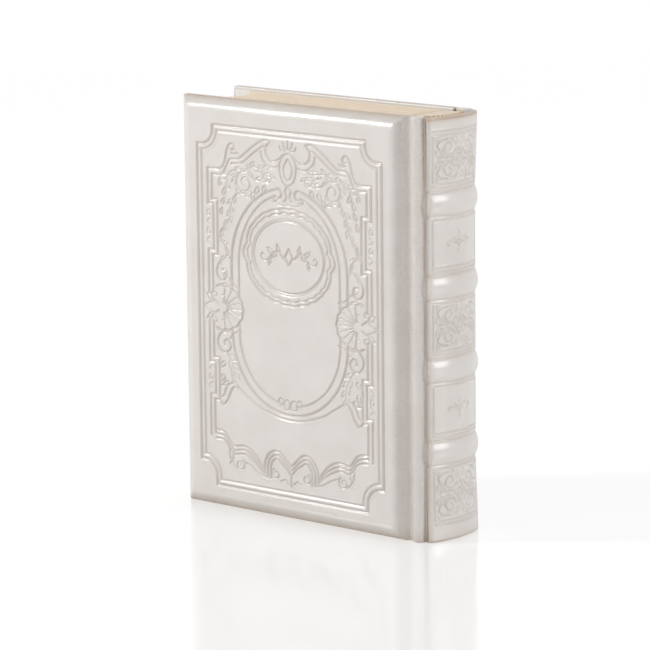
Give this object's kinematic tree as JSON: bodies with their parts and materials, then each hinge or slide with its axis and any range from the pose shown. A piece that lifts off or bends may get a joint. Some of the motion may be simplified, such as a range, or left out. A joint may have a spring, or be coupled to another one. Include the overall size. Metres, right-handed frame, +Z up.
{
  "type": "prayer book",
  "caption": "Upright prayer book in a padded pearl leather case binding with raised spine bands, hinged covers and sections of leaves that fan open",
  "frame": {"origin": "centre of the bounding box footprint, on the plane the tail edges rest on", "axes": "+Z up from tail to head, +X from the fore edge to the spine, -Y out of the front cover"},
  "size_m": [0.132, 0.0404, 0.17],
  "materials": {
    "pearl_leather": "pearl satin, fine grain, blind embossed",
    "case_board": "matt",
    "padding_foam": "matt, soft",
    "endpaper": "matt",
    "book_paper": "matt, cut leaf edges",
    "lining_cloth": "open weave",
    "band_silk": "striped silk"
  },
  "bodies": {
    "spine": {"spine_leather": "pearl_leather", "spine_inlay": "case_board", "raised_band_1": "case_board", "raised_band_2": "case_board", "raised_band_3": "case_board", "raised_band_4": "case_board", "front_shoulder": "pearl_leather", "back_shoulder": "pearl_leather", "sewn_backs": "book_paper", "spine_lining": "lining_cloth", "head_band": "band_silk", "tail_band": "band_silk", "front_joint_leather": "pearl_leather", "back_joint_leather": "pearl_leather"},
    "front_cover": {"front_leather": "pearl_leather", "front_padding": "padding_foam", "front_board": "case_board", "front_pastedown": "endpaper"},
    "back_cover": {"back_leather": "pearl_leather", "back_padding": "padding_foam", "back_board": "case_board", "back_pastedown": "endpaper"},
    "front_flyleaf_body": {"front_flyleaf": "endpaper"},
    "back_flyleaf_body": {"back_flyleaf": "endpaper"},
    "section_1_body": {"section_1": "book_paper"},
    "section_2_body": {"section_2": "book_paper"},
    "section_3_body": {"section_3": "book_paper"},
    "section_4_body": {"section_4": "book_paper"},
    "section_5_body": {"section_5": "book_paper"},
    "section_6_body": {"section_6": "book_paper"},
    "section_7_body": {"section_7": "book_paper"},
    "section_8_body": {"section_8": "book_paper"}
  },
  "joints": [
    {"name": "front_cover_hinge", "type": "hinge", "parent": "spine", "child": "front_cover", "pos_m": [0.0524, -0.01645, 0.085], "axis": [0, 0, 1], "range_deg": [0, 110], "deforming": ["front_joint_leather"]},
    {"name": "back_cover_hinge", "type": "hinge", "parent": "spine", "child": "back_cover", "pos_m": [0.0524, 0.01645, 0.085], "axis": [0, 0, -1], "range_deg": [0, 110], "deforming": ["back_joint_leather"]},
    {"name": "front_flyleaf_turn", "type": "hinge", "parent": "spine", "child": "front_flyleaf_body", "pos_m": [0.0482, -0.0135, 0.085], "axis": [0, 0, 1], "range_deg": [0, 101.2]},
    {"name": "section_1_turn", "type": "hinge", "parent": "spine", "child": "section_1_body", "pos_m": [0.047, -0.01159, 0.085], "axis": [0, 0, 1], "range_deg": [0, 81.4]},
    {"name": "section_2_turn", "type": "hinge", "parent": "spine", "child": "section_2_body", "pos_m": [0.047, -0.00828, 0.085], "axis": [0, 0, 1], "range_deg": [0, 49.5]},
    {"name": "section_3_turn", "type": "hinge", "parent": "spine", "child": "section_3_body", "pos_m": [0.047, -0.00497, 0.085], "axis": [0, 0, 1], "range_deg": [0, 27.5]},
    {"name": "section_4_turn", "type": "hinge", "parent": "spine", "child": "section_4_body", "pos_m": [0.047, -0.00166, 0.085], "axis": [0, 0, 1], "range_deg": [0, 11]},
    {"name": "back_flyleaf_turn", "type": "hinge", "parent": "spine", "child": "back_flyleaf_body", "pos_m": [0.0482, 0.0135, 0.085], "axis": [0, 0, -1], "range_deg": [0, 101.2]},
    {"name": "section_8_turn", "type": "hinge", "parent": "spine", "child": "section_8_body", "pos_m": [0.047, 0.01159, 0.085], "axis": [0, 0, -1], "range_deg": [0, 81.4]},
    {"name": "section_7_turn", "type": "hinge", "parent": "spine", "child": "section_7_body", "pos_m": [0.047, 0.00828, 0.085], "axis": [0, 0, -1], "range_deg": [0, 49.5]},
    {"name": "section_6_turn", "type": "hinge", "parent": "spine", "child": "section_6_body", "pos_m": [0.047, 0.00497, 0.085], "axis": [0, 0, -1], "range_deg": [0, 27.5]},
    {"name": "section_5_turn", "type": "hinge", "parent": "spine", "child": "section_5_body", "pos_m": [0.047, 0.00166, 0.085], "axis": [0, 0, -1], "range_deg": [0, 11]}
  ],
  "couplings": [
    {"joint": "front_flyleaf_turn", "follows": "front_cover_hinge", "ratio": 0.92},
    {"joint": "section_1_turn", "follows": "front_cover_hinge", "ratio": 0.74},
    {"joint": "section_2_turn", "follows": "front_cover_hinge", "ratio": 0.45},
    {"joint": "section_3_turn", "follows": "front_cover_hinge", "ratio": 0.25},
    {"joint": "section_4_turn", "follows": "front_cover_hinge", "ratio": 0.1},
    {"joint": "back_flyleaf_turn", "follows": "back_cover_hinge", "ratio": 0.92},
    {"joint": "section_8_turn", "follows": "back_cover_hinge", "ratio": 0.74},
    {"joint": "section_7_turn", "follows": "back_cover_hinge", "ratio": 0.45},
    {"joint": "section_6_turn", "follows": "back_cover_hinge", "ratio": 0.25},
    {"joint": "section_5_turn", "follows": "back_cover_hinge", "ratio": 0.1}
  ]
}
